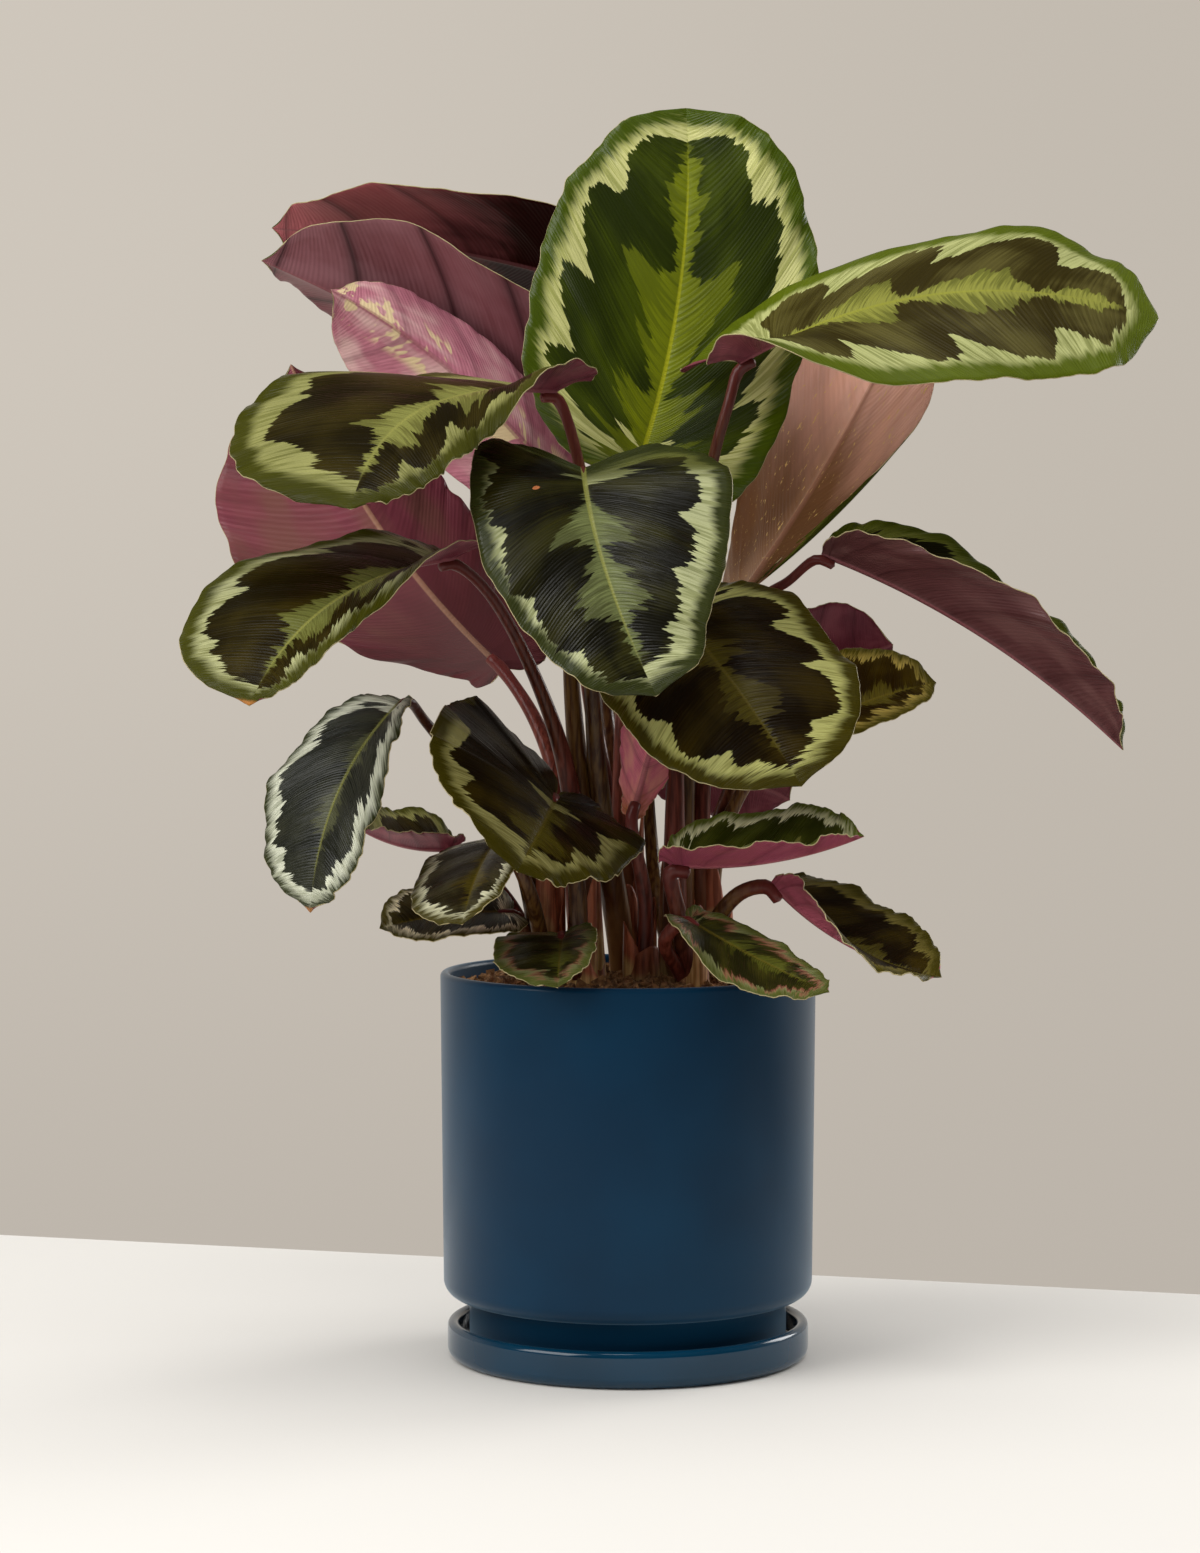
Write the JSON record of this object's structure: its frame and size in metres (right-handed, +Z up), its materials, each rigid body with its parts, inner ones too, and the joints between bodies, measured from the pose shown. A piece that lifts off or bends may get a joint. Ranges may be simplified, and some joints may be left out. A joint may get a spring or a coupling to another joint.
{
  "type": "potted medallion calathea",
  "caption": "Potted prayer plant with round patterned leaves, purple beneath, on long dark stalks, in a plain glazed drum pot that stands on its round saucer.",
  "frame": {"origin": "middle of the saucer's flat underside, on the surface that the part stands on and on the pot's own axis", "axes": "+Z up along the pot's axis, -Y towards the side that faces the picture's camera, +X to its right"},
  "size_m": [0.5135, 0.3648, 0.6871],
  "materials": {
    "pot_glaze": "satin",
    "saucer_glaze": "satin",
    "potting_mix": "matte",
    "stalk": "satin",
    "leaf": "satin"
  },
  "bodies": {
    "root": {"blade_centre_front": "leaf", "blade_centre_right": "leaf", "blade_crown": "leaf", "blade_droop_east": "leaf", "blade_droop_high": "leaf", "blade_east_back": "leaf", "blade_east_high": "leaf", "blade_east_purple": "leaf", "blade_east_small": "leaf", "blade_low_east": "leaf", "blade_low_edge": "leaf", "blade_low_front": "leaf", "blade_low_small": "leaf", "blade_low_west": "leaf", "blade_rim_east": "leaf", "blade_rim_west": "leaf", "blade_shade": "leaf", "blade_unfurling": "leaf", "blade_west_broad": "leaf", "blade_west_hanging": "leaf", "blade_west_low": "leaf", "blade_west_magenta": "leaf", "blade_west_pink": "leaf", "blade_west_second": "leaf", "blade_west_top": "leaf", "pot": "pot_glaze", "saucer": "saucer_glaze", "soil": "potting_mix", "stalks_centre": "stalk", "stalks_east": "stalk", "stalks_east_front": "stalk", "stalks_east_inner": "stalk", "stalks_west": "stalk", "stalks_west_front": "stalk", "stalks_west_inner": "stalk", "stalks_young": "stalk"}
  },
  "joints": []
}
